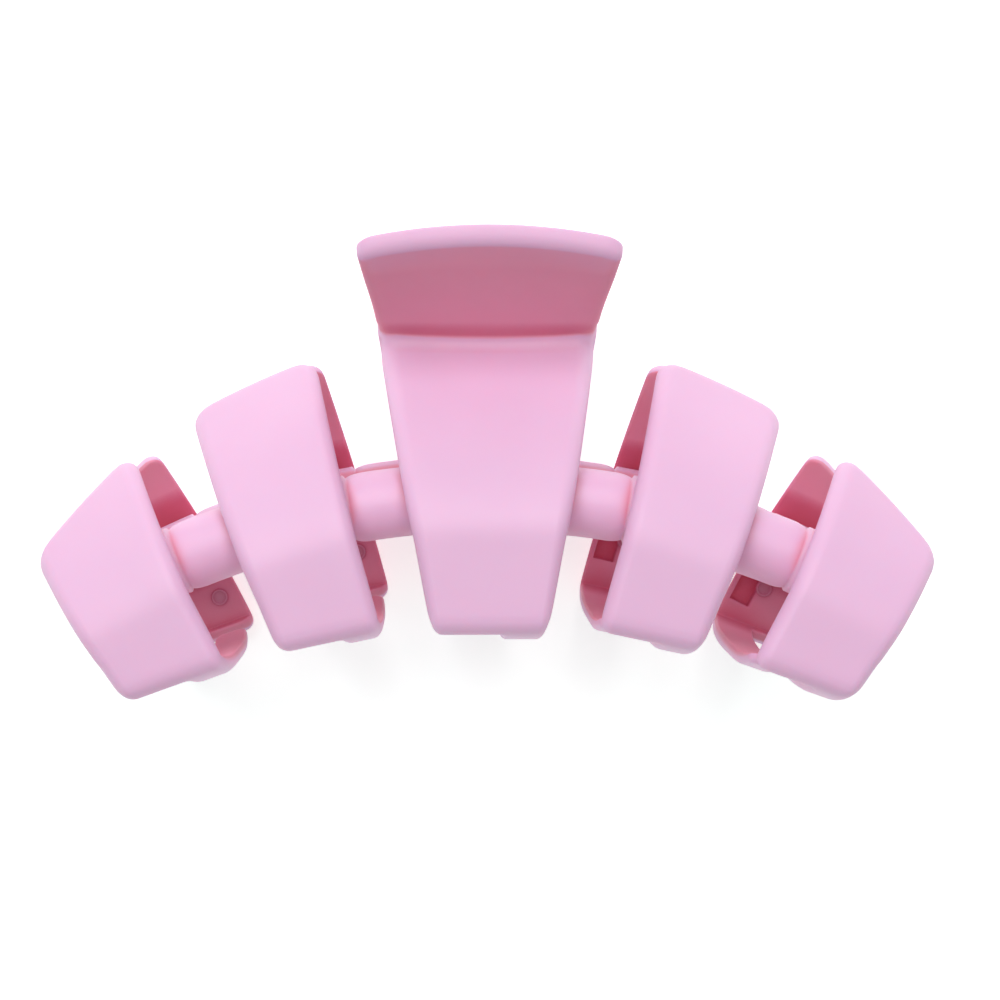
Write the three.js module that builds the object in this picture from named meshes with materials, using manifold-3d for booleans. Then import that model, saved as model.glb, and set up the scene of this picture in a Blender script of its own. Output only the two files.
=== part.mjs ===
// Claw clip: two identical plastic jaws that turn on a steel pin and are held shut by a torsion spring.
//
// Each jaw is five broad slabs strung on an arched bar. The clip lies on its lower jaw: +X runs along
// the row of slabs, +Y from the teeth towards the thumb levers, and +Z from the lower to the upper jaw.
// Shapes are drawn with the arch in the XY plane and the depth of the clip along Z, then laid down.

import * as THREE from 'three';
import { mergeVertices } from 'three/addons/utils/BufferGeometryUtils.js';
import Module from 'manifold-3d';

// Driving dimensions, in millimetres and degrees.
const ARCH_RADIUS = 84; // of the bar's centre line, seen from above
const RING_HALF_DEPTH = 22; // mid plane to the outer face of a slab
const FLAT_TOP = -4; // the flat on a slab's outer face starts at this height from the bar
const RING_RISE = 24.5; // flat to the height where the ring's upper curve would close
const RING_CURVE = 1.5; // exponent of that curve
const BEND_HEIGHT = 4.6; // of the bend under the flat, down to the ring's lowest point
const BEND_EXPONENT = 0.6; // below 1 it makes the bend squarer than an ellipse
const TOOTH_DROP = 1.2; // bottom of a tooth below the slab's plain edge
const TOOTH_REACH = 14; // tooth tip past the mid plane
const TOOTH_CURL = 1.3; // rise of a tooth towards its tip
const TOOTH_GAP = 1.4; // between the roots of the two jaws' teeth, side by side
const WALL = 1.8;
const TIP_WALL = 1.1;
const CORNER = 2; // rounding of a slab's corners, seen from above
const END_TRIM = 0.2; // a wall runs this far past its slab's corners, and is cut back to its outline
const CLEARANCE = 0.3;
const BAR_RADIUS = 3.7;
const BAR_DEPTH = 13.3; // mid plane to the bar's centre line
const BAR_END_ANGLE = 30.4;

const HINGE_HEIGHT = 13; // above the bar
const PIN_RADIUS = 1.25;
const PIN_LENGTH = 18.6;
const BORE_RADIUS = 1.65;
const LUG_RADIUS = 3.2;
const LUG_WIDTH = 2.6;
const LUG_CENTRES = [-7.3, 4.4];

const WIRE_RADIUS = 0.45;
const COIL_RADIUS = 2.9;
const COIL_HALF_LENGTH = 2.15;
const COIL_TURNS = 4;
const LEG_END = { height: 6.2, depth: 6.2 }; // from the hinge axis

const LEVER_CUT = 15.4; // where the lever's node starts, above the bar
const LEVER_TOP = { corner: 26.3, middle: 27.9, halfWidth: 13.6 };

// Slabs on one side of the arch. Heights are from the bar along the slab; inner is towards the centre.
const CENTRE_SLAB = {
  name: 'centre', archAngle: 0, tilt: 0,
  topHalfWidth: 11.5, bottomHalfWidth: 5.9,
  topInner: LEVER_CUT, topOuter: LEVER_CUT, bottomInner: -14.6, bottomOuter: -14.6, toothInner: 1.2,
};
const SIDE_SLABS = [
  {
    name: 'mid', archAngle: 14.15, tilt: 18.3,
    topHalfWidth: 7.2, bottomHalfWidth: 5.35,
    topInner: 16, topOuter: 14.3, bottomInner: -14.1, bottomOuter: -12.9, toothInner: 1.1,
  },
  {
    name: 'outer', archAngle: 26.9, tilt: 29.4,
    topHalfWidth: 6.9, bottomHalfWidth: 5.45,
    topInner: 12.2, topOuter: 7.3, bottomInner: -13.1, bottomOuter: -11.2, toothInner: 1.1,
  },
];

const PLASTIC = { color: 0xf2c4dc, roughness: 0.55, metalness: 0 };
const STEEL = { color: 0xb4b6ba, roughness: 0.35, metalness: 1 };

const wasm = await Module();
wasm.setup();

const radians = THREE.MathUtils.degToRad;

// Solids -------------------------------------------------------------------------------------------

function toSolid(geometry) {
  const bare = geometry.clone();
  bare.deleteAttribute('normal');
  bare.deleteAttribute('uv');
  const merged = mergeVertices(bare, 1e-4);
  return new wasm.Manifold(new wasm.Mesh({
    numProp: 3,
    vertProperties: new Float32Array(merged.attributes.position.array),
    triVerts: new Uint32Array(merged.index.array),
  }));
}

function toGeometry(solid) {
  const mesh = solid.getMesh();
  const geometry = new THREE.BufferGeometry();
  geometry.setAttribute('position', new THREE.BufferAttribute(mesh.vertProperties, 3));
  geometry.setIndex(new THREE.BufferAttribute(mesh.triVerts, 1));
  geometry.computeVertexNormals();
  return geometry;
}

// A shape drawn seen from above, extruded through the depth of the clip.
function prism(shape, depth = 4 * RING_HALF_DEPTH) {
  const geometry = new THREE.ExtrudeGeometry(shape, { depth, bevelEnabled: false, curveSegments: 3 });
  return toSolid(geometry.translate(0, 0, -depth / 2));
}

// A shape drawn seen from the side, with x as depth and y as height, extruded across the width.
function sideExtrusion(shape, width, centreX = 0) {
  const geometry = new THREE.ExtrudeGeometry(shape, { depth: width, bevelEnabled: false, curveSegments: 8 });
  geometry.translate(0, 0, -width / 2 - centreX).rotateY(-Math.PI / 2);
  return toSolid(geometry);
}

// Outlines -----------------------------------------------------------------------------------------

// A polygon with its corners rounded.
function roundedOutline(corners, radius) {
  const shape = new THREE.Shape();
  corners.forEach((corner, i) => {
    const before = corners.at(i - 1);
    const after = corners[(i + 1) % corners.length];
    const start = corner.clone().add(before.clone().sub(corner).setLength(radius));
    const end = corner.clone().add(after.clone().sub(corner).setLength(radius));
    if (i === 0) shape.moveTo(start.x, start.y);
    else shape.lineTo(start.x, start.y);
    shape.quadraticCurveTo(corner.x, corner.y, end.x, end.y);
  });
  shape.closePath();
  return shape;
}

// The outer face of the ring above its flat, seen from the side, down from a height.
function upperRing(top) {
  const count = Math.ceil((top - FLAT_TOP) / 2.2);
  const points = [];
  for (let i = 0; i <= count; i += 1) {
    const height = THREE.MathUtils.lerp(top, FLAT_TOP, i / count);
    const rise = (height - FLAT_TOP) / RING_RISE;
    points.push(new THREE.Vector2(RING_HALF_DEPTH * (1 - rise ** RING_CURVE), height));
  }
  return points;
}

// The bend below the flat, down to a height or to the ring's lowest point.
function lowerRing(drop, bottom = -drop) {
  const flatBottom = BEND_HEIGHT - drop;
  const last = Math.asin(((flatBottom - bottom) / BEND_HEIGHT) ** (1 / BEND_EXPONENT));
  const count = Math.ceil(last / radians(11));
  const points = [];
  for (let i = 0; i <= count; i += 1) {
    const t = last * i / count;
    points.push(new THREE.Vector2(
      RING_HALF_DEPTH * Math.max(Math.cos(t), 0) ** BEND_EXPONENT,
      flatBottom - BEND_HEIGHT * Math.sin(t) ** BEND_EXPONENT,
    ));
  }
  return points;
}

// The outer face of a tooth past the lowest point of the ring, rising towards its tip.
function curlPath(drop) {
  const points = [];
  for (const share of [0.25, 0.5, 0.7, 0.85, 1]) {
    points.push(new THREE.Vector2(-TOOTH_REACH * share, TOOTH_CURL * share ** 3 - drop));
  }
  return points;
}

// Points moved inwards from a path, each by its own wall thickness.
function offsetPath(path, wallAt) {
  return path.map((point, i) => {
    const before = path[Math.max(i - 1, 0)];
    const after = path[Math.min(i + 1, path.length - 1)];
    const along = after.clone().sub(before).normalize();
    return new THREE.Vector2(point.x + along.y * wallAt(i), point.y - along.x * wallAt(i));
  });
}

// A wall whose outer face follows the path.
function wallShape(path, wallAt = () => WALL) {
  return new THREE.Shape([...path, ...offsetPath(path, wallAt).reverse()]);
}

// Slabs --------------------------------------------------------------------------------------------

function halfWidthAt(slab, height) {
  const top = Math.max(slab.topInner, slab.topOuter);
  const bottom = Math.min(slab.bottomInner, slab.bottomOuter);
  return THREE.MathUtils.mapLinear(height, bottom, top, slab.bottomHalfWidth, slab.topHalfWidth);
}

function slabDrop(slab) {
  return TOOTH_DROP - (slab.bottomInner + slab.bottomOuter) / 2;
}

// The wall runs just past its slab's bottom edge, and is cut back square to its faces.
function slabBottom(slab) {
  return (slab.bottomInner + slab.bottomOuter) / 2 - END_TRIM;
}

function slabPath(slab) {
  return [...upperRing(slab.topInner + END_TRIM), ...lowerRing(slabDrop(slab), slabBottom(slab))];
}

// side is +1 on the right of the arch and -1 on the left; the centre slab is the same on both.
function slabOutline(slab, side) {
  return roundedOutline([
    new THREE.Vector2(slab.topHalfWidth, side > 0 ? slab.topOuter : slab.topInner),
    new THREE.Vector2(-slab.topHalfWidth, side > 0 ? slab.topInner : slab.topOuter),
    new THREE.Vector2(-slab.bottomHalfWidth, side > 0 ? slab.bottomInner : slab.bottomOuter),
    new THREE.Vector2(slab.bottomHalfWidth, side > 0 ? slab.bottomOuter : slab.bottomInner),
  ], CORNER);
}

// The tooth takes the right-hand half of its slab, starts well up the wall that it grows from, and
// narrows to toothInner from the slab's middle.
function toothOutline(slab) {
  const root = BEND_HEIGHT - slabDrop(slab);
  const bottom = -slabDrop(slab) - 1;
  return new THREE.Shape([
    new THREE.Vector2(TOOTH_GAP / 2, root),
    new THREE.Vector2(slab.toothInner, bottom),
    new THREE.Vector2(halfWidthAt(slab, bottom), bottom),
    new THREE.Vector2(halfWidthAt(slab, root), root),
  ]);
}

function toothSolid(slab) {
  const drop = slabDrop(slab);
  const curl = curlPath(drop);
  const path = [...lowerRing(drop), ...curl];
  const rootCount = path.length - curl.length;
  const thin = (i) => Math.max(i - rootCount + 1, 0) / curl.length * (WALL - TIP_WALL);
  const band = sideExtrusion(wallShape(path, (i) => WALL - thin(i)), 4 * slab.topHalfWidth);
  return band.intersect(prism(toothOutline(slab)));
}

// Below its flat a slab leans over, so that its bend and its tooth follow the slope of its bottom edge.
function leaning(solid, slab, side) {
  const slope = side * (slab.bottomOuter - slab.bottomInner) / (2 * slab.bottomHalfWidth);
  return solid.warp((vertex) => {
    if (vertex[1] < FLAT_TOP - 1) {
      vertex[1] += slope * vertex[0];
    }
  });
}

function slabSolid(slab, side, path) {
  const band = sideExtrusion(wallShape(path), 4 * slab.topHalfWidth);
  const wall = leaning(band, slab, side).intersect(prism(slabOutline(slab, side)));
  return wall.add(leaning(toothSolid(slab), slab, side));
}

// The centre slab bends outwards at its top into the thumb lever, which is cut off level with the
// slab's flat.
function centrePath() {
  const bend = new THREE.CubicBezierCurve(
    new THREE.Vector2(8.9, 13.6),
    new THREE.Vector2(5.9, 16.2),
    new THREE.Vector2(7.6, 17.9),
    new THREE.Vector2(RING_HALF_DEPTH + 1.2, 26.4),
  );
  const below = lowerRing(slabDrop(CENTRE_SLAB), slabBottom(CENTRE_SLAB));
  return [...bend.getPoints(10).reverse(), ...upperRing(13), ...below];
}

function leverOutline() {
  const shape = new THREE.Shape();
  const start = LEVER_CUT + CLEARANCE;
  const { corner, middle, halfWidth } = LEVER_TOP;
  shape.moveTo(-halfWidthAt(CENTRE_SLAB, start), start);
  shape.lineTo(halfWidthAt(CENTRE_SLAB, start), start);
  shape.quadraticCurveTo(12.3, 20.5, halfWidth - 0.2, corner - 1);
  shape.quadraticCurveTo(halfWidth, corner + 0.1, halfWidth - 1.2, corner + 0.3);
  shape.quadraticCurveTo(0, 2 * middle - corner - 0.3, 1.2 - halfWidth, corner + 0.3);
  shape.quadraticCurveTo(-halfWidth, corner + 0.1, 0.2 - halfWidth, corner - 1);
  shape.quadraticCurveTo(-12.3, 20.5, -halfWidthAt(CENTRE_SLAB, start), start);
  return shape;
}

function leverSolid() {
  const band = sideExtrusion(wallShape(centrePath()), 4 * LEVER_TOP.halfWidth);
  return band.intersect(prism(leverOutline(), 2 * RING_HALF_DEPTH));
}

// Bars ---------------------------------------------------------------------------------------------

function archPoint(angle, depth = 0) {
  const t = radians(angle);
  return new THREE.Vector3(ARCH_RADIUS * Math.sin(t), ARCH_RADIUS * (Math.cos(t) - 1), depth);
}

// A length of the bar's centre line between two angles.
class ArchCurve extends THREE.Curve {
  constructor(startAngle, endAngle) {
    super();
    this.startAngle = startAngle;
    this.endAngle = endAngle;
  }

  getPoint(t, target = new THREE.Vector3()) {
    const angle = THREE.MathUtils.lerp(this.startAngle, this.endAngle, t);
    return target.copy(archPoint(angle, BAR_DEPTH));
  }
}

// A length of the arched bar between two angles, with half of the joint clearance off each end.
function barGeometry(startAngle, endAngle) {
  const margin = THREE.MathUtils.radToDeg(CLEARANCE / 2 / ARCH_RADIUS);
  const extrudePath = new ArchCurve(startAngle + margin, endAngle - margin);
  const section = new THREE.Shape().absarc(0, 0, BAR_RADIUS, 0, 2 * Math.PI);
  return new THREE.ExtrudeGeometry(section, { steps: 6, extrudePath, curveSegments: 8 });
}

// Hinge --------------------------------------------------------------------------------------------

// The space inside the ring of the centre slabs, seen from the side, clear of the slab's inner face.
function innerSpace() {
  const inner = offsetPath(centrePath(), () => WALL + CLEARANCE);
  const bottom = inner.at(-1).y;
  return new THREE.Shape([...inner, new THREE.Vector2(-LUG_RADIUS * 2, bottom),
    new THREE.Vector2(-LUG_RADIUS * 2, inner[0].y)]);
}

function lugSolid(centreX) {
  const outline = new THREE.Shape();
  outline.moveTo(0, HINGE_HEIGHT - LUG_RADIUS);
  outline.lineTo(RING_HALF_DEPTH, HINGE_HEIGHT - 2.2 * LUG_RADIUS);
  outline.lineTo(RING_HALF_DEPTH, HINGE_HEIGHT + 0.6 * LUG_RADIUS);
  outline.lineTo(0, HINGE_HEIGHT + LUG_RADIUS);
  outline.absarc(0, HINGE_HEIGHT, LUG_RADIUS, Math.PI / 2, 1.5 * Math.PI);
  const bore = new THREE.Shape().absarc(0, HINGE_HEIGHT, BORE_RADIUS, 0, 2 * Math.PI);
  return sideExtrusion(outline, LUG_WIDTH, centreX)
    .intersect(sideExtrusion(innerSpace(), 4 * RING_HALF_DEPTH))
    .subtract(sideExtrusion(bore, 4 * RING_HALF_DEPTH));
}

function pinGeometry() {
  const chamfer = 0.3;
  const half = PIN_LENGTH / 2;
  const profile = [
    new THREE.Vector2(0, -half),
    new THREE.Vector2(PIN_RADIUS - chamfer, -half),
    new THREE.Vector2(PIN_RADIUS, chamfer - half),
    new THREE.Vector2(PIN_RADIUS, half - chamfer),
    new THREE.Vector2(PIN_RADIUS - chamfer, half),
    new THREE.Vector2(0, half),
  ];
  return new THREE.LatheGeometry(profile, 16).rotateZ(Math.PI / 2);
}

// The spring's wire: down one leg, round the pin, and up the other leg, drawn about the hinge axis.
function springGeometry() {
  const reach = Math.hypot(LEG_END.height, LEG_END.depth);
  const legAngle = Math.atan2(LEG_END.depth, LEG_END.height);
  const touch = legAngle - Math.acos(COIL_RADIUS / reach); // where a leg meets the coil
  const turned = 2 * Math.PI * COIL_TURNS + 2 * touch;
  const points = [new THREE.Vector3(COIL_HALF_LENGTH, LEG_END.height, LEG_END.depth)];
  const steps = 12 * COIL_TURNS;
  for (let i = 0; i <= steps; i += 1) {
    const angle = touch - turned * i / steps;
    points.push(new THREE.Vector3(
      COIL_HALF_LENGTH * (1 - 2 * i / steps),
      COIL_RADIUS * Math.cos(angle),
      COIL_RADIUS * Math.sin(angle),
    ));
  }
  points.push(new THREE.Vector3(-COIL_HALF_LENGTH, LEG_END.height, -LEG_END.depth));
  const section = new THREE.Shape().absarc(0, 0, WIRE_RADIUS, 0, 2 * Math.PI);
  const extrudePath = new THREE.CatmullRomCurve3(points, false, 'centripetal');
  return new THREE.ExtrudeGeometry(section, { steps: 80, extrudePath, curveSegments: 3 });
}

// Assembly -----------------------------------------------------------------------------------------

function namedMesh(name, geometry, look) {
  const mesh = new THREE.Mesh(geometry, new THREE.MeshStandardMaterial(look));
  mesh.name = name;
  return mesh;
}

// The lower jaw is the upper one turned half round, so its right-hand slabs end up on the left.
function jaw(level) {
  const group = new THREE.Group();
  const sideName = (side) => (side * (level === 'upper' ? 1 : -1) > 0 ? 'right' : 'left');
  const centre = slabSolid(CENTRE_SLAB, 1, centrePath());
  group.add(namedMesh(`${level}_centre_slab`, toGeometry(centre), PLASTIC));
  group.add(namedMesh(`${level}_thumb_lever`, toGeometry(leverSolid()), PLASTIC));
  LUG_CENTRES.forEach((centreX) => {
    const name = `${level}_${sideName(Math.sign(centreX))}_hinge_lug`;
    group.add(namedMesh(name, toGeometry(lugSolid(centreX)), PLASTIC));
  });
  for (const side of [-1, 1]) {
    for (const slab of SIDE_SLABS) {
      const solid = slabSolid(slab, side, slabPath(slab));
      const mesh = namedMesh(`${level}_${sideName(side)}_${slab.name}_slab`, toGeometry(solid), PLASTIC);
      mesh.position.copy(archPoint(side * slab.archAngle));
      mesh.rotation.z = radians(-side * slab.tilt);
      group.add(mesh);
    }
    const stops = [0, SIDE_SLABS[0].archAngle, BAR_END_ANGLE];
    ['inner', 'outer'].forEach((name, i) => {
      const ends = [side * stops[i], side * stops[i + 1]].sort((a, b) => a - b);
      group.add(namedMesh(`${level}_${sideName(side)}_${name}_bar`, barGeometry(...ends), PLASTIC));
    });
  }
  if (level === 'lower') group.rotation.y = Math.PI;
  return group;
}

const pin = namedMesh('hinge_pin', pinGeometry(), STEEL);
const spring = namedMesh('torsion_spring', springGeometry(), STEEL);
pin.position.y = HINGE_HEIGHT;
spring.position.y = HINGE_HEIGHT;

const clip = new THREE.Group();
clip.add(jaw('upper'), jaw('lower'), pin, spring);

// The origin is on the surface that the clip lies on, under the middle of its outline.
const bounds = new THREE.Box3().setFromObject(clip, true);
clip.position.y = -(bounds.min.y + bounds.max.y) / 2;
clip.position.z = -bounds.min.z;

const part = new THREE.Group();
part.add(clip);

export default part;
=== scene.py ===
"""Looks of the claw clip: both moulded jaws, the hinge pin and the torsion spring, on a white table."""

import math

import bmesh
import bpy
import numpy as np
from mathutils import Matrix, Vector


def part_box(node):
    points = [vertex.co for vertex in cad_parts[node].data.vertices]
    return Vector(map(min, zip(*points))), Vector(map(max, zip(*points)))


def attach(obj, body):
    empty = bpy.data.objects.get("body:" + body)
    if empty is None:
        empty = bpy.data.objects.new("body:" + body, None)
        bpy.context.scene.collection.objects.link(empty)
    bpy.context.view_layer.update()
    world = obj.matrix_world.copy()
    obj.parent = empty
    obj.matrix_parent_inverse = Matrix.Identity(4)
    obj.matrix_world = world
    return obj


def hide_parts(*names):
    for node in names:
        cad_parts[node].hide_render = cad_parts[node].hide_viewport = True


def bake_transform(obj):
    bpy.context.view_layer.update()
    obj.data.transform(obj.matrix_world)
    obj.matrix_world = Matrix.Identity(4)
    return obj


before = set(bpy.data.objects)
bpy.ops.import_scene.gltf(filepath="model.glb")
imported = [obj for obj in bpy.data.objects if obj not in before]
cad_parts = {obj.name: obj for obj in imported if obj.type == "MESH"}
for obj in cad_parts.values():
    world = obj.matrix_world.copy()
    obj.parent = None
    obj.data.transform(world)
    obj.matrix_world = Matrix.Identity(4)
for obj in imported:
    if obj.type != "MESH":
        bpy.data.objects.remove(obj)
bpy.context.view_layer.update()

MM = 0.001

# The clip's own frame: x along the row of slabs, v up from the bar, h out from the mid plane, in mm.
HALF_DEPTH = 22.0
HINGE_V = 13.0
FLAT_TOP = -4.0  # the flat on a slab's outer face starts at this height
RING_RISE, RING_CURVE, RING_SOFT = 24.0, 0.75, 0.012  # the curve above the flat
BEND_HEIGHT, BEND_EXPONENT = 3.5, 0.54  # the bend below the flat
WALL = 1.8
TOOTH_START = 0.57  # across a slab, as a share of its width
TOOTH_DROP = 0.9  # bottom of a tooth below the slab's plain edge
TOOTH_REACH, TOOTH_CURL, TIP_WALL = 14.0, 1.3, 1.1
TOOTH_TAPER = 0.22  # share of its width that a tooth has lost at its tip
SIDE_TOOTH_MIDDLE, CENTRE_TOOTH_MIDDLE = 0.58, 0.6  # of a tooth, as a share of its slab's half width
OUTER_FILLET, INNER_FILLET = 1.45, 0.28
TOP_CORNER, BOTTOM_CORNER, TIP_CORNER = 2.1, 1.7, 1.6
TOP_CROWN = 0.3  # rise of a side slab's top edge at its middle
LEAN_FROM, LEAN_OVER = -5.0, 3.0  # heights where a side slab starts to follow its bottom edge's slope

# Each pair is for the edge towards the centre slab and the edge away from it. Angles are in degrees.
SIDE_SLABS = {
    "mid": {
        "angle": 14.15, "tilt": 18.3, "half_top": (6.95, 7.45), "half_bottom": 5.35,
        "top_v": (16.0, 14.3), "bottom_v": (-14.1, -12.9),
    },
    "outer": {
        "angle": 26.9, "tilt": 29.4, "half_top": (6.6, 7.1), "half_bottom": 5.45,
        "top_v": (12.2, 7.2), "bottom_v": (-13.1, -11.2),
    },
}
POCKET_ACROSS = (0.73, 0.945)  # shares of a slab's width
POCKET_V = (-5.4, -8.4)
POCKET_DEPTH, POCKET_WALL = 1.0, 0.14
EJECTOR_MARKS = ((-3.3, -7.4), (2.0, -5.6))  # (across, v) from a slab's middle

CENTRE_HALF_TOP, CENTRE_HALF_BOTTOM, CENTRE_BOTTOM_V, CENTRE_HEIGHT = 11.5, 5.9, -14.6, 30.0
CENTRE_TOP_CORNER = 1.25
LEVER_CURVE = [(6.84, 15.2), (5.5, 16.6), (7.0, 16.9), (23.2, 26.6)]  # (h, v) of its outer face
LEVER_FOOT, LEVER_FLARE, LEVER_HALF_WIDTH = 11.8, 0.9, 13.6  # at its foot, its straight flare, at its top
LEVER_ARCH = 1.5  # fall of the lever's top edge towards its corners
LEVER_WALL = 1.65
CREASE_V = 17.0

ARCH_RADIUS, BAR_RADIUS, BAR_DEPTH = 84.0, 3.65, 13.3
BAR_END = 30.3  # degrees from the middle
BAR_SINK = 0.4  # of the bar's centre line below the arch
BAR_END_ROUND = 1.2
SWELL_HALF_CENTRE, SWELL_HALF_SIDE = 8.6, 6.0  # half the length of bar that is swollen at a slab
SWELL_RISE, SWELL_FADE = 2.6, 1.4
SHOULDER_LENGTH, SHOULDER_DEPTH = 1.9, 0.16  # the depth is a share of the bar's radius
LUG_CENTRES, LUG_WIDTH, LUG_RADIUS, BORE_RADIUS = (-7.3, 4.4), 2.6, 3.2, 1.65
PIN_RADIUS, PIN_LENGTH = 1.25, 18.6
WIRE_RADIUS, COIL_RADIUS, COIL_HALF, COIL_TURNS = 0.45, 2.9, 2.15, 4
LEG_HEIGHT, LEG_DEPTH = 6.2, 6.2

# How open the plastic's surroundings are, from closed to open, and its colour there, with painted shade:
# darker and redder where closed in, the plastic's own pale pink where open.
PLASTIC_WITH_PAINTED_SHADE = [
    (0.05, (0.68, 0.15, 0.24)),
    (0.25, (0.75, 0.235, 0.34)),
    (0.45, (0.86, 0.37, 0.50)),
    (0.72, (0.845, 0.525, 0.755)),
]

pin_low, pin_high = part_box("hinge_pin")
PIN_CENTRE = (pin_low + pin_high) / 2
ORIGIN = Vector((0, PIN_CENTRE.y - HINGE_V * MM, PIN_CENTRE.z))


# Meshes -------------------------------------------------------------------------------------------


def new_mesh(name, points, faces):
    """A smooth-shaded mesh from points in mm, with its faces turned outwards."""
    mesh = bpy.data.meshes.new(name)
    mesh.from_pydata([tuple(p * MM) for p in np.asarray(points, float)], [], faces)
    mesh.validate()
    bm = bmesh.new()
    bm.from_mesh(mesh)
    bmesh.ops.remove_doubles(bm, verts=bm.verts, dist=1e-7)
    bmesh.ops.recalc_face_normals(bm, faces=bm.faces)
    bm.to_mesh(mesh)
    bm.free()
    mesh.polygons.foreach_set("use_smooth", [True] * len(mesh.polygons))
    return mesh


def joined(name, meshes):
    """One mesh out of several."""
    bm = bmesh.new()
    for mesh in meshes:
        bm.from_mesh(mesh)
    out = bpy.data.meshes.new(name)
    bm.to_mesh(out)
    bm.free()
    return out


def band(first, second, count):
    """Quads between two closed rings of points, given by the index of each ring's first point."""
    after = [(i + 1) % count for i in range(count)]
    return [[first + i, first + j, second + j, second + i] for i, j in enumerate(after)]


def smoothstep(x):
    x = np.clip(x, 0, 1)
    return x * x * (3 - 2 * x)


# Profiles -----------------------------------------------------------------------------------------


def bezier(p0, p1, p2, p3, count):
    t = np.linspace(0, 1, count)[:, None]
    p0, p1, p2, p3 = (np.array(p, float) for p in (p0, p1, p2, p3))
    return (1 - t) ** 3 * p0 + 3 * (1 - t) ** 2 * t * p1 + 3 * (1 - t) * t**2 * p2 + t**3 * p3


def ring_upper(top):
    """A slab's outer face from a height down to the flat, as points (h, v)."""
    v = np.linspace(top, FLAT_TOP, 80)
    rise = (((v - FLAT_TOP) / RING_RISE) ** 2 + RING_SOFT) ** RING_CURVE - RING_SOFT**RING_CURVE
    return np.c_[HALF_DEPTH * (1 - rise), v]


def ring_lower(drop):
    """The flat and the bend under it, down to the lowest point at v = -drop."""
    t = np.linspace(0, math.pi / 2, 120)
    across = np.maximum(np.cos(t), 0) ** BEND_EXPONENT
    return np.c_[HALF_DEPTH * across, BEND_HEIGHT * (1 - np.sin(t) ** BEND_EXPONENT) - drop]


def curl(drop):
    """A tooth past the mid plane, rising towards its tip."""
    share = np.linspace(0, 1, 40)[1:]
    return np.c_[-TOOTH_REACH * share, TOOTH_CURL * share**3 - drop]


class Path:
    """A slab's outer face seen from the side, as points (h, v) from its top to its tooth's tip."""

    SAMPLES = 1200
    EVENED = 15  # samples each way over which the direction is averaged

    def __init__(self, points):
        step = np.r_[1, np.hypot(*np.diff(points, axis=0).T)]
        points = points[step > 1e-6]
        lengths = np.r_[0, np.cumsum(np.hypot(*np.diff(points, axis=0).T))]
        self.s = np.linspace(0, lengths[-1], self.SAMPLES)
        self.h = np.interp(self.s, lengths, points[:, 0])
        self.v = np.interp(self.s, lengths, points[:, 1])
        window = 2 * self.EVENED + 1
        kernel = np.ones(window) / window
        dh, dv = np.gradient(self.h), np.gradient(self.v)
        dh, dv = (np.convolve(np.pad(a, self.EVENED, mode="edge"), kernel, "valid") for a in (dh, dv))
        size = np.hypot(dh, dv)
        self.nh, self.nv = dv / size, -dh / size

    def at(self, s, depth):
        """(h, v) at a length along the path and a depth in from the outer face."""
        h, v = np.interp(s, self.s, self.h), np.interp(s, self.s, self.v)
        nh, nv = np.interp(s, self.s, self.nh), np.interp(s, self.s, self.nv)
        return h + nh * depth, v + nv * depth

    def length_at(self, v):
        """The length where the path comes down to a height, which holds above the lowest point."""
        lowest = int(np.argmin(self.v))
        return np.interp(-v, -self.v[: lowest + 1], self.s[: lowest + 1])


# Plates -------------------------------------------------------------------------------------------


class Layout:
    """Where a flat plate's y lies along its path: the plate first, then the tooth past y = length."""

    def __init__(self, path, s_top, s_low):
        self.path, self.s_low = path, s_low
        self.length = float(s_low - s_top)
        self.tooth_length = float(path.s[-1] - s_low)

    def past(self, y):
        """0 on the plate, rising to 1 at the tooth's tip."""
        return np.clip((y - self.length) / self.tooth_length, 0, 1)

    def along(self, y, s_top):
        """Length along the path, with the top edge at s_top."""
        on_plate = s_top + y / self.length * (self.s_low - s_top)
        on_tooth = self.s_low + (y - self.length) / self.tooth_length * (self.path.s[-1] - self.s_low)
        return np.where(y <= self.length, on_plate, on_tooth)

    def narrowed(self, u, y, middle):
        """The tooth tapers towards its own middle line."""
        past = self.past(y)
        return np.where(past > 0, middle + (u - middle) * (1 - TOOTH_TAPER * past), u)

    def wall(self, y):
        return WALL - (WALL - TIP_WALL) * self.past(y)


def lines(low, high, spacing, extra=()):
    """Grid lines between two limits, close together across the fillet at each edge."""
    inset = OUTER_FILLET * 0.9 * (1 - np.cos(np.radians([0, 15, 30, 45, 60, 75, 90, 97])))
    inner_low, inner_high = low + inset[-1], high - inset[-1]
    count = max(2, int(round((inner_high - inner_low) / spacing)) + 1)
    plain = np.linspace(inner_low, inner_high, count)
    out = np.array(sorted([low, high, *extra, *(low + inset), *(high - inset), *plain]))
    return out[np.r_[True, np.diff(out) > 0.012]]


def fillet_depth(distance, radius):
    short = np.clip(radius - distance, 0, radius)
    return radius - np.sqrt(np.maximum(radius**2 - short**2, 0))


def round_corners(x, y, corners):
    """Moves the square corners of a grid on to arcs. Each corner is (x, y, x sign, y sign, radius)."""
    slack = 0.001  # the grid lines are rounded to less than this
    px, py = x.copy(), y.copy()
    for cx, cy, sx, sy, r in corners:
        a, b = r - (x - cx) * sx, r - (y - cy) * sy
        near = (a > 0) & (b > 0) & (a <= r + slack) & (b <= r + slack)
        size = np.hypot(a, b)
        scale = np.where(near & (size > 1e-9), np.maximum(a, b) / np.maximum(size, 1e-9), 1)
        px = np.where(near, cx + (r - a * scale) * sx, px)
        py = np.where(near, cy + (r - b * scale) * sy, py)
    return px, py


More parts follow.
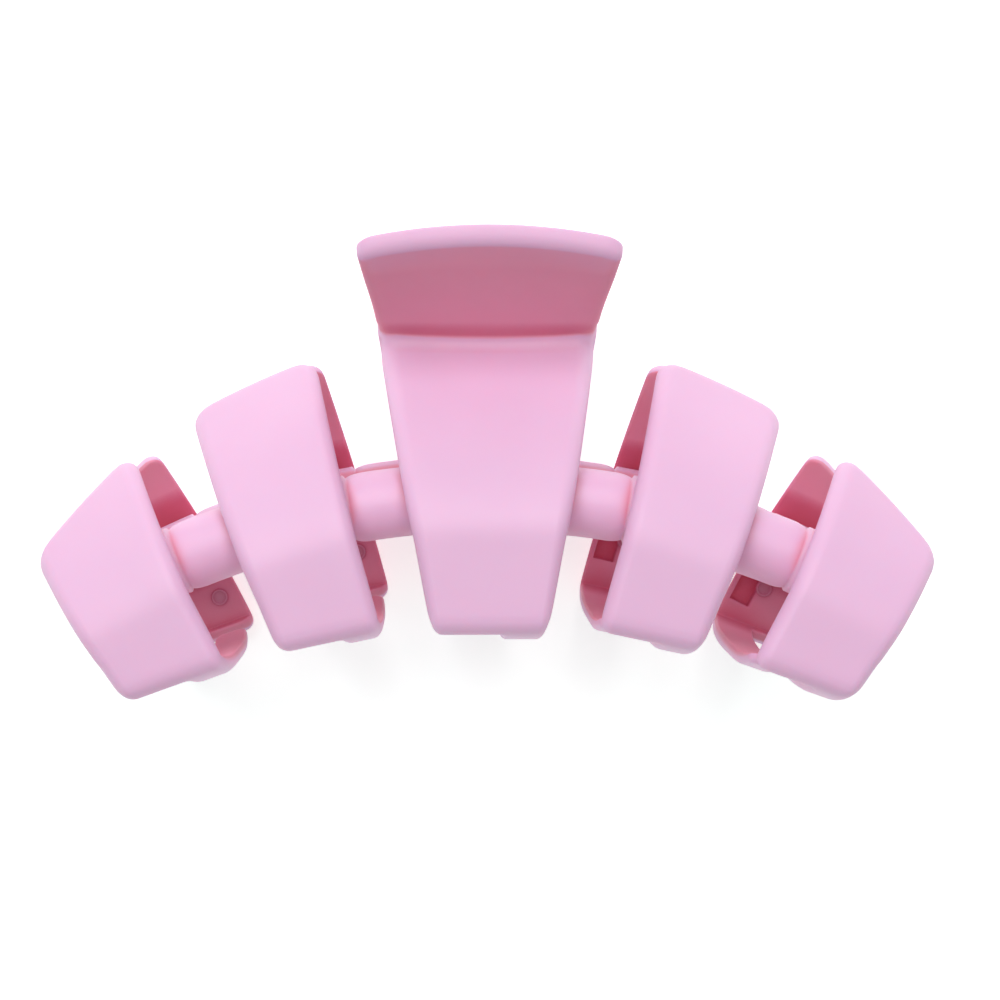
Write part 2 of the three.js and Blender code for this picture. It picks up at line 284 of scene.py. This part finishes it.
def toothed_plate(name, width, layout, place, wall_at, top_corner=TOP_CORNER,
                  softness=lambda y: 1.0, pocket=lambda x, y: 0.0, extra_x=(), extra_y=()):
    """A rounded plate with a tooth on its right-hand end.

    place(x, y, depth) bends it into the clip's frame. x is from its left edge and y from its top edge.
    """
    length, tooth_length = layout.length, layout.tooth_length
    tooth_from = width * TOOTH_START
    xs = np.unique(np.round(np.r_[lines(0, tooth_from, 0.9), lines(tooth_from, width, 0.9, extra_x)], 4))
    ys = np.unique(np.round(np.r_[
        lines(0, length, 0.8, extra_y),
        lines(length, length + tooth_length, 0.6),
    ], 4))
    nx, ny = len(xs), len(ys)
    x, y = np.meshgrid(xs, ys, indexing="ij")
    in_tooth = y > length + 1e-6
    bottom = np.where(x <= tooth_from + 1e-6, length - y, np.hypot(x - tooth_from, length - y))
    plate_distance = np.minimum.reduce([x, width - x, y, bottom])
    tooth_distance = np.minimum.reduce([x - tooth_from, width - x, length + tooth_length - y])
    distance = np.maximum(np.where(in_tooth, tooth_distance, plate_distance), 0)

    wall = wall_at(y)
    share = np.minimum(wall / WALL, 1)
    front = fillet_depth(distance, OUTER_FILLET * share * softness(y))
    back = wall - pocket(x, y) - fillet_depth(distance, INNER_FILLET * share)
    px, py = round_corners(x, y, [
        (0, 0, 1, 1, top_corner),
        (width, 0, -1, 1, top_corner),
        (0, length, 1, -1, BOTTOM_CORNER),
        (tooth_from, length + tooth_length, 1, -1, TIP_CORNER),
        (width, length + tooth_length, -1, -1, TIP_CORNER),
    ])
    points = np.r_[place(px, py, front).reshape(-1, 3), place(px, py, back).reshape(-1, 3)]
    second = nx * ny

    # A cell is left out where there is neither plate nor tooth.
    cell_x, cell_y = (xs[:-1] + xs[1:]) / 2, (ys[:-1] + ys[1:]) / 2
    keep = ~((cell_y[None, :] > length) & (cell_x[:, None] < tooth_from))
    faces, edge_count = [], {}
    for i, j in zip(*np.nonzero(keep)):
        corner = int(i) * ny + int(j)
        quad = [corner, corner + ny, corner + ny + 1, corner + 1]
        faces.append(quad)
        faces.append([q + second for q in reversed(quad)])
        for a, b in zip(quad, quad[1:] + quad[:1]):
            key = (min(a, b), max(a, b))
            edge_count[key] = edge_count.get(key, 0) + 1
    for (a, b), n in edge_count.items():
        if n == 1:
            faces.append([a, b, b + second, a + second])
    used = sorted({q for f in faces for q in f})
    order = {q: k for k, q in enumerate(used)}
    return new_mesh(name, points[used], [[order[q] for q in f] for f in faces])


def slab_mesh(name, slab, side):
    """A side slab with its tooth; side is +1 on the right and -1 on the left of the upper jaw."""
    left, right = (0, 1) if side > 0 else (1, 0)  # index of the inner and outer value
    top_v, bottom_v = slab["top_v"], slab["bottom_v"]
    half_top, half_bottom = slab["half_top"], slab["half_bottom"]
    drop = TOOTH_DROP - sum(bottom_v) / 2
    path = Path(np.r_[ring_upper(max(top_v) + 1.5), ring_lower(drop), curl(drop)])
    width = sum(half_top) / 2 + half_bottom
    s_low = float(path.length_at(sum(bottom_v) / 2))
    layout = Layout(path, np.mean([path.length_at(v) for v in top_v]), s_low)
    slope = (bottom_v[right] - bottom_v[left]) / (2 * half_bottom)  # of the bottom edge, bend and tooth
    arch, tilt = math.radians(side * slab["angle"]), math.radians(side * slab["tilt"])
    middle_x, middle_y = ARCH_RADIUS * math.sin(arch), ARCH_RADIUS * (math.cos(arch) - 1)

    def settle(u, v, h):
        """From along and across the slab to the clip's frame."""
        x = middle_x + u * math.cos(tilt) + v * math.sin(tilt)
        return np.stack([x, middle_y - u * math.sin(tilt) + v * math.cos(tilt), h], axis=-1)

    def place(x, y, depth):
        w = x / width
        top = top_v[left] + (top_v[right] - top_v[left]) * w + TOP_CROWN * (1 - (2 * w - 1) ** 2)
        s = layout.along(y, path.length_at(top))
        h, v = path.at(s, depth)
        _, face_v = path.at(s, 0 * s)
        edges = []
        for i in (left, right):
            share = np.clip((face_v - bottom_v[i]) / (top_v[i] - bottom_v[i]), -0.06, 1)
            edges.append(half_bottom + (half_top[i] - half_bottom) * share)
        u = layout.narrowed(-edges[0] + (edges[0] + edges[1]) * w, y, half_bottom * SIDE_TOOTH_MIDDLE)
        return settle(u, v + slope * u * smoothstep((LEAN_FROM - face_v) / LEAN_OVER), h)

    # A moulded pocket on the inner face, over the tooth, near the slab's edge.
    def grid_y(v):
        s_top = path.length_at((top_v[0] + top_v[1]) / 2)
        return layout.length * float((path.length_at(v) - s_top) / (s_low - s_top))

    pocket_x = [width * share for share in POCKET_ACROSS]
    pocket_y = [grid_y(v) for v in POCKET_V]

    def inside(value, span):
        return np.clip(np.minimum(value - span[0], span[1] - value) / POCKET_WALL, 0, 1)

    def wall_lines(span):
        """Grid lines along both walls of the pocket."""
        return [edge + d for edge, s in zip(span, (1, -1)) for d in (0, POCKET_WALL / 2 * s, POCKET_WALL * s)]

    plate = toothed_plate(
        name, width, layout, place, layout.wall,
        pocket=lambda x, y: POCKET_DEPTH * inside(x, pocket_x) * inside(y, pocket_y),
        extra_x=wall_lines(pocket_x), extra_y=wall_lines(pocket_y),
    )
    return joined(name, [plate, *(ejector_mark(settle, u, v) for u, v in EJECTOR_MARKS)])


def ejector_mark(settle, u, v):
    """A round, slightly proud ring on a slab's inner face, where a pin pushed the moulding out."""
    count = 40
    profile = [
        (0.62, -0.05), (0.7, -0.1), (0.76, -0.17), (0.84, -0.19), (0.92, -0.17), (0.97, -0.1), (0.98, 0.3),
    ]
    turns = np.linspace(0, 2 * math.pi, count, endpoint=False)
    points = []
    for radius, rise in profile:
        height = np.full(count, HALF_DEPTH - WALL + rise)
        points += list(settle(u + radius * np.cos(turns), v + radius * np.sin(turns), height))
    faces = [list(range(count))]
    for k in range(len(profile) - 1):
        faces += band(k * count, (k + 1) * count, count)
    faces.append([(len(profile) - 1) * count + i for i in range(count)][::-1])
    return new_mesh("ejector_mark", points, faces)


def centre_mesh(name):
    """The centre slab, its tooth and the thumb lever, in one."""
    drop = TOOTH_DROP - CENTRE_BOTTOM_V
    path = Path(np.r_[bezier(*LEVER_CURVE, 120)[::-1], ring_upper(15.1), ring_lower(drop), curl(drop)])
    width = CENTRE_HALF_TOP + CENTRE_HALF_BOTTOM
    # At every depth the lever is cut off level with the slab's flat.
    depths = np.linspace(0, 3.5, 8)
    near_end = path.s < 12
    ends = [
        float(np.interp(-HALF_DEPTH, -path.at(path.s[near_end], d)[0], path.s[near_end])) for d in depths
    ]
    layout = Layout(path, ends[0], path.length_at(CENTRE_BOTTOM_V))
    crease = path.length_at(CREASE_V) - ends[0]

    def half_width(v):
        share = (v - CENTRE_BOTTOM_V) / CENTRE_HEIGHT
        slab = CENTRE_HALF_BOTTOM + (CENTRE_HALF_TOP - CENTRE_HALF_BOTTOM) * np.clip(share, -0.04, 1.01)
        up = np.clip((v - 15.7) / 10.0, 0, 1)
        lever = LEVER_FOOT + LEVER_FLARE * up + (LEVER_HALF_WIDTH - LEVER_FOOT - LEVER_FLARE) * up**2
        return np.where(v > 16.0, lever, slab)

    def place(x, y, depth):
        s = layout.along(y, np.interp(depth, depths, ends))
        h, v = path.at(s, depth)
        _, face_v = path.at(s, 0 * s)
        w = 2 * x / width - 1
        u = layout.narrowed(w * half_width(face_v), y, CENTRE_HALF_BOTTOM * CENTRE_TOOTH_MIDDLE)
        smile = 0.6 * np.exp(-(((face_v - 16.4) / 1.1) ** 2))  # the crease rises towards its ends
        v = v + w**2 * (smile - LEVER_ARCH * smoothstep((face_v - CREASE_V) / 7.5))
        return np.stack([u, v, h], axis=-1)

    def wall_at(y):
        lever = smoothstep(1.3 * (1 - y / crease))
        return layout.wall(y) * (1 - lever) + LEVER_WALL * lever

    def softness(y):
        """The lever's edges are crisper than the slab's."""
        return 1 - 0.45 * smoothstep((crease + 1.2 - y) / 1.6)

    return toothed_plate(name, width, layout, place, wall_at, CENTRE_TOP_CORNER, softness)


# Bar, lugs, pin and spring ------------------------------------------------------------------------


def sweep(name, centres, frames, radii, segments=32):
    """A tube along centres; frames gives two unit vectors at each, and radii its radius at each angle."""
    points, faces = [], []
    angle = np.linspace(0, 2 * math.pi, segments, endpoint=False)
    for k, (c, (a, b)) in enumerate(zip(centres, frames)):
        r = radii(k, angle)
        points += list(c + np.outer(np.cos(angle) * r, a) + np.outer(np.sin(angle) * r, b))
    for k in range(len(centres) - 1):
        faces += band(k * segments, (k + 1) * segments, segments)
    # Each end is closed by a slightly domed cap.
    for k, beyond in ((0, centres[0] - centres[1]), (len(centres) - 1, centres[-1] - centres[-2])):
        beyond = beyond / np.linalg.norm(beyond)
        rim = np.array(points[k * segments:(k + 1) * segments])
        dome = 0.06 * float(np.mean(np.linalg.norm(rim - centres[k], axis=1)))
        previous = k * segments
        for share in (0.75, 0.45, 0.2):
            points += list(centres[k] + (rim - centres[k]) * share + beyond * dome * (1 - share**2))
            start = len(points) - segments
            faces += band(previous, start, segments)
            previous = start
        points.append(centres[k] + beyond * dome)
        faces += [[previous + i, previous + (i + 1) % segments, len(points) - 1] for i in range(segments)]
    return new_mesh(name, points, faces)


def rod_mesh(name):
    """The arched bar, swollen where it runs into each slab's inner face, with rounded ends."""
    per_degree = math.radians(1) * ARCH_RADIUS
    slabs = [(0, SWELL_HALF_CENTRE), *((slab["angle"], SWELL_HALF_SIDE) for slab in SIDE_SLABS.values())]
    round_end = np.degrees(BAR_END_ROUND * (1 - np.sin(np.radians([0, 15, 30, 45, 60, 75]))) / ARCH_RADIUS)
    past = BAR_END - round_end
    stations = np.r_[-past[::-1], np.linspace(-past[0], past[0], 400)[1:-1], past]
    centres, frames, swell, taper = [], [], [], []
    for a in stations:
        t = math.radians(a)
        centres.append(np.array([
            ARCH_RADIUS * math.sin(t), ARCH_RADIUS * (math.cos(t) - 1) - BAR_SINK, BAR_DEPTH]))
        frames.append((np.array([math.sin(t), math.cos(t), 0]), np.array([0, 0, 1.0])))
        arc = [(m - abs(a)) * per_degree for m, _ in slabs]
        swell.append(float(max(
            smoothstep((half - abs(d)) / SWELL_FADE) for d, (_, half) in zip(arc, slabs))))
        # The bar is rounded off where it meets the near side of each slab away from the middle.
        shoulder = max(
            1 - min(abs(d - half) / SHOULDER_LENGTH, 1) if d > half else 0
            for d, (_, half) in zip(arc[1:], slabs[1:])
        )
        from_end = np.clip((BAR_END - abs(a)) * per_degree / BAR_END_ROUND, 0, 1)
        taper.append(1 - SHOULDER_DEPTH * (1 - math.sqrt(1 - shoulder**2)) * (1 - swell[-1])
                     - BAR_END_ROUND / BAR_RADIUS * (1 - math.sqrt(1 - (1 - from_end) ** 2)))

    def radii(k, angle):
        out = np.maximum(np.sin(angle), 0) ** 3  # towards the slab's inner face
        return (BAR_RADIUS + swell[k] * out * SWELL_RISE) * taper[k]

    return sweep(name, centres, frames, radii, segments=56)


def hull(points):
    """The convex outline of points in a plane."""
    points = sorted(map(tuple, points))

    def half(items):
        out = []
        for p in items:
            while len(out) > 1 and ((out[-1][0] - out[-2][0]) * (p[1] - out[-2][1])
                                    - (out[-1][1] - out[-2][1]) * (p[0] - out[-2][0])) <= 0:
                out.pop()
            out.append(p)
        return out[:-1]

    return np.array(half(points) + half(points[::-1]))


def reach_in(outline, angles):
    """How far it is from the origin to a convex outline at each angle."""
    edge = np.roll(outline, -1, axis=0) - outline
    reach = []
    for t in angles:
        d = np.array([math.cos(t), math.sin(t)])
        cross = d[0] * edge[:, 1] - d[1] * edge[:, 0]
        with np.errstate(divide="ignore", invalid="ignore"):
            far = (outline[:, 0] * edge[:, 1] - outline[:, 1] * edge[:, 0]) / cross
            share = (outline[:, 0] * d[1] - outline[:, 1] * d[0]) / cross
        hit = (share >= -1e-9) & (share <= 1 + 1e-9) & (far > 0)
        reach.append(float(np.max(far[hit])))
    return np.array(reach)


def lug_mesh(name, centre_x):
    """A bored plate from the centre slab's inner face to the pin, with rounded edges and a chamfered bore."""
    path = Path(np.r_[ring_upper(15.4), ring_lower(15.8)])
    wall = np.c_[path.at(path.length_at(np.linspace(15.0, 6.0, 20)), WALL - 0.4)]
    count = 120
    angles = np.linspace(0, 2 * math.pi, count, endpoint=False)
    circle = np.c_[LUG_RADIUS * np.cos(angles), HINGE_V + LUG_RADIUS * np.sin(angles)]
    reach = reach_in(hull(np.r_[circle, wall]) - (0, HINGE_V), angles)
    half, soft, chamfer = LUG_WIDTH / 2, 0.45, 0.25
    steps = np.radians([0, 22.5, 45, 67.5, 90])
    # Each ring is (across, inset from the outline, widening of the bore), with one of the last two None.
    rings = [(-half + chamfer, None, 0.0), (-half, None, chamfer)]
    rings += [(-half + soft * (1 - math.cos(t)), soft * (1 - math.sin(t)), None) for t in steps]
    rings += [(half - soft * (1 - math.sin(t)), soft * (1 - math.cos(t)), None) for t in steps]
    rings += [(half, None, chamfer), (half - chamfer, None, 0.0)]
    points, faces = [], []
    for k, (across, inset, widen) in enumerate(rings):
        radius = reach - inset if widen is None else np.full(count, BORE_RADIUS + widen)
        points += list(np.c_[
            np.full(count, centre_x + across), HINGE_V + radius * np.sin(angles), radius * np.cos(angles)])
        faces += band(k * count, (k + 1) % len(rings) * count, count)
    return new_mesh(name, points, faces)


def pin_mesh(name):
    """The hinge pin: a straight shaft with a shallow groove near each end and rounded ends."""
    half, soft = PIN_LENGTH / 2, 0.5
    profile = [(half - soft * (1 - math.sin(t)), PIN_RADIUS - soft * (1 - math.cos(t)))
               for t in np.radians([90, 75, 60, 45, 30, 15, 0])]
    groove = [(1.0, 0.0), (1.05, 0.09), (1.2, 0.12), (1.35, 0.09), (1.4, 0.0)]  # (from the end, depth)
    profile += [(half - from_end, PIN_RADIUS - depth) for from_end, depth in groove]
    profile += [(half - from_end, PIN_RADIUS) for from_end in (2, 4, 6, 8)]
    profile += [(-x, r) for x, r in profile[::-1]]
    centres = [np.array([x, HINGE_V, 0]) for x, _ in profile]
    frames = [(np.array([0, 1.0, 0]), np.array([0, 0, 1.0]))] * len(profile)
    return sweep(name, centres, frames, lambda k, angle: np.full(angle.shape, profile[k][1]), segments=48)


def spring_mesh(name):
    """The torsion spring's wire: up one leg, round the pin and up the other leg, with rounded ends."""
    reach = math.hypot(LEG_HEIGHT, LEG_DEPTH)
    touch = math.atan2(LEG_DEPTH, LEG_HEIGHT) - math.acos(COIL_RADIUS / reach)  # where a leg meets the coil
    turned = 2 * math.pi * COIL_TURNS + 2 * touch
    share = np.linspace(0, 1, 64 * COIL_TURNS)
    angle = touch - turned * share
    coil = np.c_[
        COIL_HALF * (1 - 2 * share), HINGE_V + COIL_RADIUS * np.cos(angle), COIL_RADIUS * np.sin(angle)]
    first = np.array([COIL_HALF, HINGE_V + LEG_HEIGHT, LEG_DEPTH])
    last = np.array([-COIL_HALF, HINGE_V + LEG_HEIGHT, -LEG_DEPTH])
    legs = np.linspace(0, 1, 16)[:-1, None]
    centres = np.r_[first + (coil[0] - first) * legs, coil, (last + (coil[-1] - last) * legs)[::-1]]
    along = np.gradient(centres, axis=0)
    along /= np.linalg.norm(along, axis=1)[:, None]
    side = np.array([1.0, 0, 0])
    frames = []
    for d in along:
        side = side - d * (side @ d)
        side /= np.linalg.norm(side)
        frames.append((side.copy(), np.cross(d, side)))
    round_end = np.radians([20, 45, 70, 90])
    inset = WIRE_RADIUS * (1 - np.cos(round_end))
    radius = WIRE_RADIUS * np.sin(round_end)
    head = [centres[0] - along[0] * (inset[-1] - e) for e in inset[:-1]]
    tail = [centres[-1] + along[-1] * (inset[-1] - e) for e in inset[:-1]][::-1]
    sizes = np.r_[radius[:-1], np.full(len(centres), WIRE_RADIUS), radius[:-1][::-1]]
    centres = head + list(centres) + tail
    frames = [frames[0]] * len(head) + frames + [frames[-1]] * len(tail)
    return sweep(name, centres, frames, lambda k, angle: np.full(angle.shape, sizes[k]), segments=16)


# Materials ----------------------------------------------------------------------------------------


class Material:
    """A material with one shader, whose inputs are set to constants or fed from other nodes."""

    def __init__(self, name):
        self.block = bpy.data.materials.new(name)
        self.block.use_nodes = True
        self.nodes, self.links = self.block.node_tree.nodes, self.block.node_tree.links
        self.shader = self.nodes["Principled BSDF"]

    def node(self, kind, inputs, **settings):
        """A new node with its inputs fed from sockets or set to constants."""
        node = self.nodes.new(kind)
        for key, value in settings.items():
            setattr(node, key, value)
        self.feed(node, inputs)
        return node

    def feed(self, node, inputs):
        for key, value in inputs.items():
            if isinstance(value, bpy.types.NodeSocket):
                self.links.new(value, node.inputs[key])
            else:
                node.inputs[key].default_value = value

    def coordinates(self, kind="Object"):
        return self.nodes.new("ShaderNodeTexCoord").outputs[kind]

    def noise(self, source, scale, detail):
        node = self.node("ShaderNodeTexNoise", {"Vector": source, "Scale": scale, "Detail": detail})
        return node.outputs["Fac"]

    def ramp(self, source, stops):
        node = self.node("ShaderNodeValToRGB", {"Fac": source})
        elements = node.color_ramp.elements
        while len(elements) < len(stops):
            elements.new(0.5)
        for element, (position, colour) in zip(elements, stops):
            element.position = position
            element.color = (*colour, 1)
        return node.outputs["Color"]

    def grey_ramp(self, source, low, high):
        return self.ramp(source, [(0.3, (low,) * 3), (0.7, (high,) * 3)])

    def maths(self, operation, first, second):
        node = self.node("ShaderNodeMath", {0: first, 1: second}, operation=operation)
        return node.outputs["Value"]

    def bump(self, height, strength, distance):
        node = self.node("ShaderNodeBump", {"Strength": strength, "Distance": distance, "Height": height})
        return node.outputs["Normal"]


def facing_inwards_for_painted_shade(mat, coords):
    """How squarely the surface faces the curved line along the middle of the clip, from 0 to 1, used to paint
    shade on the inner faces.
    """
    place = mat.node("ShaderNodeSeparateXYZ", {"Vector": coords})
    square = mat.maths("MULTIPLY", place.outputs["X"], place.outputs["X"])
    sag = mat.maths("MULTIPLY", square, -0.5 / (ARCH_RADIUS * MM))
    middle = mat.node("ShaderNodeCombineXYZ", {"X": place.outputs["X"], "Y": sag})
    inward = mat.node("ShaderNodeVectorMath", {0: middle.outputs["Vector"], 1: coords}, operation="SUBTRACT")
    unit = mat.node("ShaderNodeVectorMath", {0: inward.outputs["Vector"]}, operation="NORMALIZE")
    inputs = {0: unit.outputs["Vector"], 1: mat.coordinates("Normal")}
    return mat.node("ShaderNodeVectorMath", inputs, operation="DOT_PRODUCT").outputs["Value"]


def plastic():
    """Pale pink moulded plastic with a little light soaking in, and painted shade: darker and redder in
    hollows and on the inner faces, where the walls face each other.
    """
    mat = Material("pink_plastic")
    coords = mat.coordinates()
    # Painted shade: the colour gets darker and redder where nearby surfaces within 3.5 mm shut the plastic
    # in.
    occlusion_for_painted_shade = mat.node("ShaderNodeAmbientOcclusion", {"Distance": 0.0035}, samples=8)
    # Painted shade on the faces that look in towards the middle of the clip.
    inner = mat.node("ShaderNodeMapRange", {"Value": facing_inwards_for_painted_shade(mat, coords)})
    mat.feed(inner, {"From Min": 0.0, "From Max": 0.38, "To Max": 0.58})
    # How lit the plastic is painted, lowered by both kinds of painted shade.
    painted_light_level = mat.maths("SUBTRACT", occlusion_for_painted_shade.outputs["AO"], inner.outputs["Result"])
    cloud = mat.ramp(mat.noise(coords, 70, 2), [(0.3, (0.965, 0.955, 0.965)), (0.7, (1.0, 1.0, 1.0))])
    # The colour with painted shade, times a random cloud in the plastic's own tone.
    colour = mat.node("ShaderNodeMix", {}, data_type="RGBA", blend_type="MULTIPLY")
    mat.feed(colour, {"Factor": 1, "A": mat.ramp(painted_light_level, PLASTIC_WITH_PAINTED_SHADE), "B": cloud})
    mat.feed(mat.shader, {
        "Base Color": colour.outputs["Result"],
        "Roughness": mat.grey_ramp(mat.noise(coords, 400, 4), 0.44, 0.52),
        "Normal": mat.bump(mat.noise(coords, 3500, 3), 0.06, 0.00004),
        "IOR": 1.49,
        "Subsurface Weight": 0.25,
        "Subsurface Radius": (1.0, 0.22, 0.3),
        "Subsurface Scale": 0.002,
    })
    return mat.block


def steel():
    """Drawn steel wire and rod: bright, with fine marks along its length and a little tarnish."""
    mat = Material("spring_steel")
    coords = mat.coordinates()
    stretched = mat.node("ShaderNodeMapping", {"Vector": coords, "Scale": (0.15, 1, 1)})
    marks = mat.noise(stretched.outputs["Vector"], 9000, 4)
    tarnish = [(0.35, (0.42, 0.42, 0.43)), (0.65, (0.6, 0.6, 0.62))]
    mat.feed(mat.shader, {
        "Base Color": mat.ramp(mat.noise(coords, 900, 5), tarnish),
        "Roughness": mat.grey_ramp(marks, 0.22, 0.42),
        "Normal": mat.bump(marks, 0.15, 0.00002),
        "Metallic": 1,
    })
    return mat.block


def white_table():
    """White paper that glows a little, tinted against the pink light that the clip throws on it."""
    mat = Material("white_table")
    mat.feed(mat.shader, {
        "Base Color": mat.grey_ramp(mat.noise(mat.coordinates(), 20, 2), 0.9, 0.92),
        "Roughness": 0.9,
        "Specular IOR Level": 0,
        "Emission Color": (0.87, 1, 0.94, 1),
        "Emission Strength": 0.585,
    })
    return mat.block


# The clip -----------------------------------------------------------------------------------------

PLASTIC = plastic()
STEEL = steel()


def add(name, mesh, material, replaced, turn=Matrix.Identity(4)):
    """A visible piece in the place of the CAD nodes that it replaces."""
    obj = bpy.data.objects.new(name, mesh)
    bpy.context.scene.collection.objects.link(obj)
    obj.matrix_world = Matrix.Translation(ORIGIN) @ turn
    if not mesh.materials:
        mesh.materials.append(material)
    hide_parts(*replaced)
    return obj


centre = centre_mesh("centre_slab")
rod = rod_mesh("arched_rod")
side_meshes = {
    (s, n): slab_mesh(f"{n}_{s}", SIDE_SLABS[n], s) for s in (1, -1) for n in ("mid", "outer")
}
lugs = {x: lug_mesh("hinge_lug", x) for x in LUG_CENTRES}

# The lower jaw is the upper one turned half round, so its right-hand slabs end up on the left.
for level in ("upper", "lower"):
    body = f"{level}_jaw"
    turn = Matrix.Identity(4) if level == "upper" else Matrix.Rotation(math.pi, 4, "Y")
    slab_nodes = [f"{level}_centre_slab", f"{level}_thumb_lever"]
    bar_nodes = [f"{level}_{s}_{n}_bar" for s in ("left", "right") for n in ("inner", "outer")]
    parts = [
        add(f"{level}_centre_slab_and_lever", centre, PLASTIC, slab_nodes, turn),
        add(f"{level}_arched_rod", rod, PLASTIC, bar_nodes, turn),
    ]
    for (side, n), mesh in side_meshes.items():
        shown = "right" if (side > 0) == (level == "upper") else "left"
        name = f"{level}_{shown}_{n}_slab"
        parts.append(add(f"{name}_shape", mesh, PLASTIC, [name], turn))
    for x, mesh in lugs.items():
        shown = "right" if (x > 0) == (level == "upper") else "left"
        parts.append(add(f"{level}_{shown}_lug_plate", mesh, PLASTIC, [f"{level}_{shown}_hinge_lug"], turn))
    for part in parts:
        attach(part, body)

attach(add("steel_pin", pin_mesh("steel_pin"), STEEL, ["hinge_pin"]), "lower_jaw")
spring = add("spring_wire", spring_mesh("spring_wire"), STEEL, ["torsion_spring"])
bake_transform(spring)

# Floor, light and camera --------------------------------------------------------------------------

floor_mesh = bpy.data.meshes.new("floor")
floor_corners = [(x, y, -0.00002) for x, y in ((-2, -2), (2, -2), (2, 2), (-2, 2))]
floor_mesh.from_pydata(floor_corners, [], [(0, 1, 2, 3)])
floor_mesh.materials.append(white_table())
floor = bpy.data.objects.new("floor", floor_mesh)
bpy.context.scene.collection.objects.link(floor)

world = bpy.data.worlds.new("studio")
bpy.context.scene.world = world
world.use_nodes = True
world.node_tree.nodes["Background"].inputs["Color"].default_value = (1, 1, 1, 1)
world.node_tree.nodes["Background"].inputs["Strength"].default_value = 0.3

softbox = bpy.data.lights.new("overhead_softbox", "AREA")
softbox.shape = "SQUARE"
softbox.size = 0.9
softbox.energy = 9.7
lamp = bpy.data.objects.new("overhead_softbox", softbox)
lamp.location = (-0.1, 0.5, 0.94)
lamp.rotation_mode = "QUATERNION"
lamp.rotation_quaternion = (Vector((0, 0, 0.02)) - lamp.location).to_track_quat("-Z", "Y")
bpy.context.scene.collection.objects.link(lamp)

# The camera looks almost straight down at the clip from 270 mm above its mid plane.
FOCAL = 2.438  # focal length over sensor width
PITCH, YAW = math.atan2(0.120, FOCAL), math.atan2(0.051, FOCAL)
camera = bpy.data.objects.new("camera", bpy.data.cameras.new("camera"))
bpy.context.scene.collection.objects.link(camera)
camera.data.sensor_width = 36
camera.data.lens = FOCAL * 36
camera.data.clip_start = 0.01
camera.location = ORIGIN + Vector((-4.17, 11.93, 270)) * MM
camera.rotation_euler = (-PITCH, -YAW, 0)
bpy.context.scene.camera = camera
bpy.context.scene.view_settings.view_transform = "Standard"
